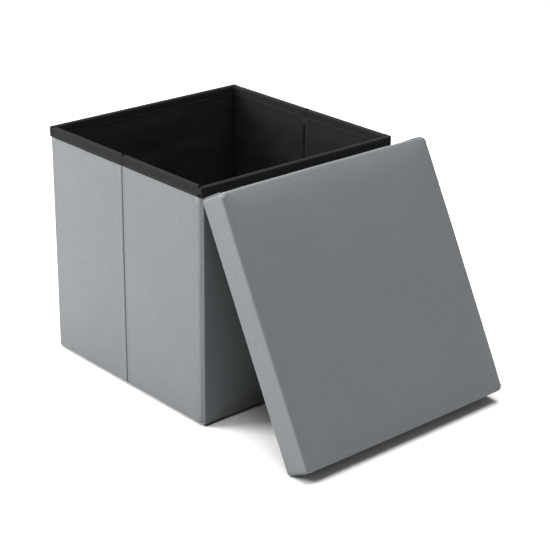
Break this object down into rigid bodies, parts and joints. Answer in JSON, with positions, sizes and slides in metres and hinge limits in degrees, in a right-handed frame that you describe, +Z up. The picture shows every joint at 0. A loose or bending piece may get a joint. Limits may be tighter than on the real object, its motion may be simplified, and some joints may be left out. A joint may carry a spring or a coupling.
{
  "type": "storage ottoman",
  "caption": "Folding cube storage ottoman with creased leatherette walls, black lining and a padded lift-off lid.",
  "frame": {"origin": "centre of the box's underside, on the floor", "axes": "+Z up; +X towards the plain wall that the lid leans on; the creased front wall faces -Y"},
  "size_m": [0.5979, 0.398, 0.3746],
  "materials": {
    "grey_leatherette": "satin, fine pebbled grain",
    "black_nonwoven": "matte non-woven",
    "black_binding": "matte woven tape",
    "panel_board": "raw fibreboard",
    "rail_wood": "raw softwood",
    "foam": "matte foam",
    "staple_steel": "plated wire"
  },
  "bodies": {
    "right_wall": {"right_wall_board": "panel_board", "right_wall_cover": "grey_leatherette", "right_wall_lining": "black_nonwoven", "right_wall_binding": "black_binding", "base_board": "panel_board", "base_cover": "black_nonwoven", "base_hem": "black_binding"},
    "front_right": {"front_right_board": "panel_board", "front_right_cover": "grey_leatherette", "front_right_lining": "black_nonwoven", "front_right_binding": "black_binding"},
    "front_left": {"front_left_board": "panel_board", "front_left_cover": "grey_leatherette", "front_left_lining": "black_nonwoven", "front_left_binding": "black_binding"},
    "left_wall": {"left_wall_board": "panel_board", "left_wall_cover": "grey_leatherette", "left_wall_lining": "black_nonwoven", "left_wall_binding": "black_binding"},
    "rear_right": {"rear_right_board": "panel_board", "rear_right_cover": "grey_leatherette", "rear_right_lining": "black_nonwoven", "rear_right_binding": "black_binding"},
    "rear_left": {"rear_left_board": "panel_board", "rear_left_cover": "grey_leatherette", "rear_left_lining": "black_nonwoven", "rear_left_binding": "black_binding"},
    "lid": {"lid_board": "panel_board", "lid_foam": "foam", "lid_rail_upper": "rail_wood", "lid_rail_lower": "rail_wood", "lid_rail_front": "rail_wood", "lid_rail_rear": "rail_wood", "lid_cover": "grey_leatherette", "lid_lining": "black_nonwoven", "lid_staples": "staple_steel"}
  },
  "joints": [
    {"name": "wall_fold", "type": "hinge", "parent": "right_wall", "child": "front_right", "pos_m": [0.1764, -0.1764, 0], "axis": [0, 0, -1], "range_deg": [0, 88]},
    {"name": "front_crease", "type": "hinge", "parent": "front_right", "child": "front_left", "pos_m": [0, -0.185, 0], "axis": [0, 0, 1], "range_deg": [0, 176]},
    {"name": "left_wall_hinge", "type": "hinge", "parent": "front_left", "child": "left_wall", "pos_m": [-0.1764, -0.1764, 0], "axis": [0, 0, -1], "range_deg": [0, 88]},
    {"name": "rear_corner_fold", "type": "hinge", "parent": "right_wall", "child": "rear_right", "pos_m": [0.1764, 0.1764, 0], "axis": [0, 0, 1], "range_deg": [0, 88]},
    {"name": "rear_crease", "type": "hinge", "parent": "rear_right", "child": "rear_left", "pos_m": [0, 0.185, 0], "axis": [0, 0, -1], "range_deg": [0, 176]},
    {"name": "lid_lift", "type": "slide", "parent": "right_wall", "child": "lid", "axis": [0, 0, 1], "range_m": [0, 0.4]}
  ],
  "couplings": [
    {"joint": "front_crease", "follows": "wall_fold", "ratio": 2},
    {"joint": "left_wall_hinge", "follows": "wall_fold", "ratio": 1},
    {"joint": "rear_corner_fold", "follows": "wall_fold", "ratio": 1},
    {"joint": "rear_crease", "follows": "wall_fold", "ratio": 2}
  ]
}
